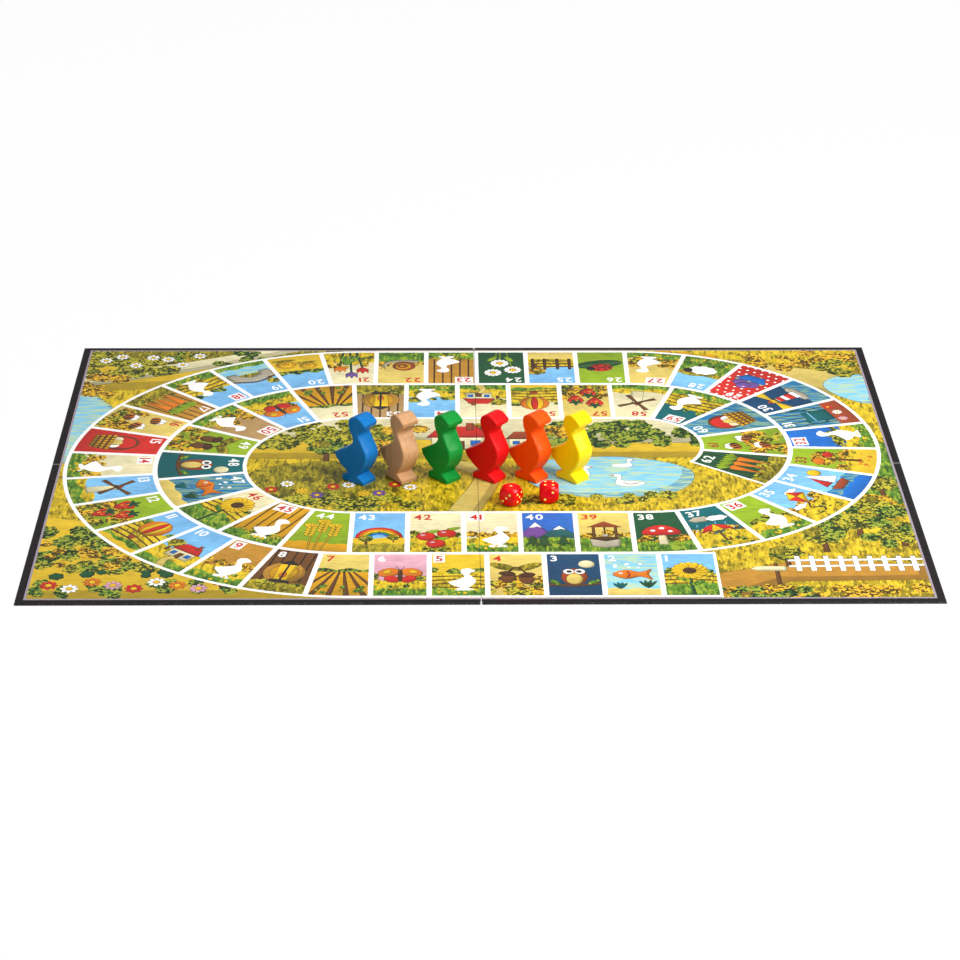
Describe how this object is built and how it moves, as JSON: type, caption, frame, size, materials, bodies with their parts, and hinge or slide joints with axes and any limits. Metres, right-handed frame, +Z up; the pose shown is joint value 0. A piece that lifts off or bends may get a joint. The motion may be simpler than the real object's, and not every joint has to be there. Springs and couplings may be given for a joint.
{
  "type": "game of the goose board",
  "caption": "Thin folding game board of wrapped card panels hinged with cloth, printed with a spiral track, with wooden goose pawns and dice standing on it.",
  "frame": {"origin": "middle of the open board, on the plane that its underside rests on", "axes": "+X to the right along the board's long side, +Y away from the player at the cut edge, +Z up"},
  "size_m": [0.56, 0.4, 0.049],
  "materials": {
    "grey_board": "matte pressed grey board",
    "linen_paper": "black paper with a fine linen emboss",
    "printed_paper": "colour print under a thin gloss varnish",
    "hinge_cloth": "woven black bookbinding cloth",
    "blue_wood": "satin blue paint on wood",
    "bare_wood": "bare beech, lightly sanded",
    "green_wood": "satin green paint on wood",
    "red_wood": "satin red paint on wood",
    "orange_wood": "satin orange paint on wood",
    "yellow_wood": "satin yellow paint on wood",
    "red_plastic": "polished red with pale yellow pips"
  },
  "bodies": {
    "back_left_panel": {"core_back_left": "grey_board", "cover_back_left": "linen_paper", "label_back_left": "printed_paper", "hinge_cloth_left": "hinge_cloth", "hinge_cloth_spine": "hinge_cloth"},
    "front_left_panel": {"core_front_left": "grey_board", "cover_front_left": "linen_paper", "label_front_left": "printed_paper"},
    "back_right_panel": {"core_back_right": "grey_board", "cover_back_right": "linen_paper", "label_back_right": "printed_paper", "hinge_cloth_right": "hinge_cloth"},
    "front_right_panel": {"core_front_right": "grey_board", "cover_front_right": "linen_paper", "label_front_right": "printed_paper"},
    "left_die": {"die_left": "red_plastic"},
    "right_die": {"die_right": "red_plastic"},
    "blue_goose": {"goose_blue": "blue_wood"},
    "natural_goose": {"goose_natural": "bare_wood"},
    "green_goose": {"goose_green": "green_wood"},
    "red_goose": {"goose_red": "red_wood"},
    "orange_goose": {"goose_orange": "orange_wood"},
    "yellow_goose": {"goose_yellow": "yellow_wood"}
  },
  "joints": [
    {"name": "left_fold", "type": "hinge", "parent": "back_left_panel", "child": "front_left_panel", "pos_m": [-0.14, 0, 0.00165], "axis": [-1, 0, 0], "range_deg": [0, 180], "deforming": ["hinge_cloth_left"]},
    {"name": "spine_fold", "type": "hinge", "parent": "back_left_panel", "child": "back_right_panel", "pos_m": [0, 0.1, -0.00015], "axis": [0, 1, 0], "range_deg": [0, 180], "deforming": ["hinge_cloth_spine"]},
    {"name": "right_fold", "type": "hinge", "parent": "back_right_panel", "child": "front_right_panel", "pos_m": [0.14, 0, 0.00165], "axis": [-1, 0, 0], "range_deg": [0, 180], "deforming": ["hinge_cloth_right"]},
    {"name": "left_die_lift", "type": "slide", "parent": "back_left_panel", "child": "left_die", "axis": [0, 0, 1], "range_m": [0, 0.541]},
    {"name": "right_die_lift", "type": "slide", "parent": "left_die", "child": "right_die", "axis": [0, 0, 1], "range_m": [0, 0.12]},
    {"name": "blue_goose_lift", "type": "slide", "parent": "left_die", "child": "blue_goose", "axis": [0, 0, 1], "range_m": [0, 0.12]},
    {"name": "natural_goose_lift", "type": "slide", "parent": "left_die", "child": "natural_goose", "axis": [0, 0, 1], "range_m": [0, 0.12]},
    {"name": "green_goose_lift", "type": "slide", "parent": "left_die", "child": "green_goose", "axis": [0, 0, 1], "range_m": [0, 0.12]},
    {"name": "red_goose_lift", "type": "slide", "parent": "left_die", "child": "red_goose", "axis": [0, 0, 1], "range_m": [0, 0.12]},
    {"name": "orange_goose_lift", "type": "slide", "parent": "left_die", "child": "orange_goose", "axis": [0, 0, 1], "range_m": [0, 0.12]},
    {"name": "yellow_goose_lift", "type": "slide", "parent": "left_die", "child": "yellow_goose", "axis": [0, 0, 1], "range_m": [0, 0.12]}
  ],
  "couplings": [
    {"joint": "right_fold", "follows": "left_fold", "ratio": 1},
    {"joint": "left_die_lift", "follows": "left_fold", "m_per_rad": 0.172}
  ]
}
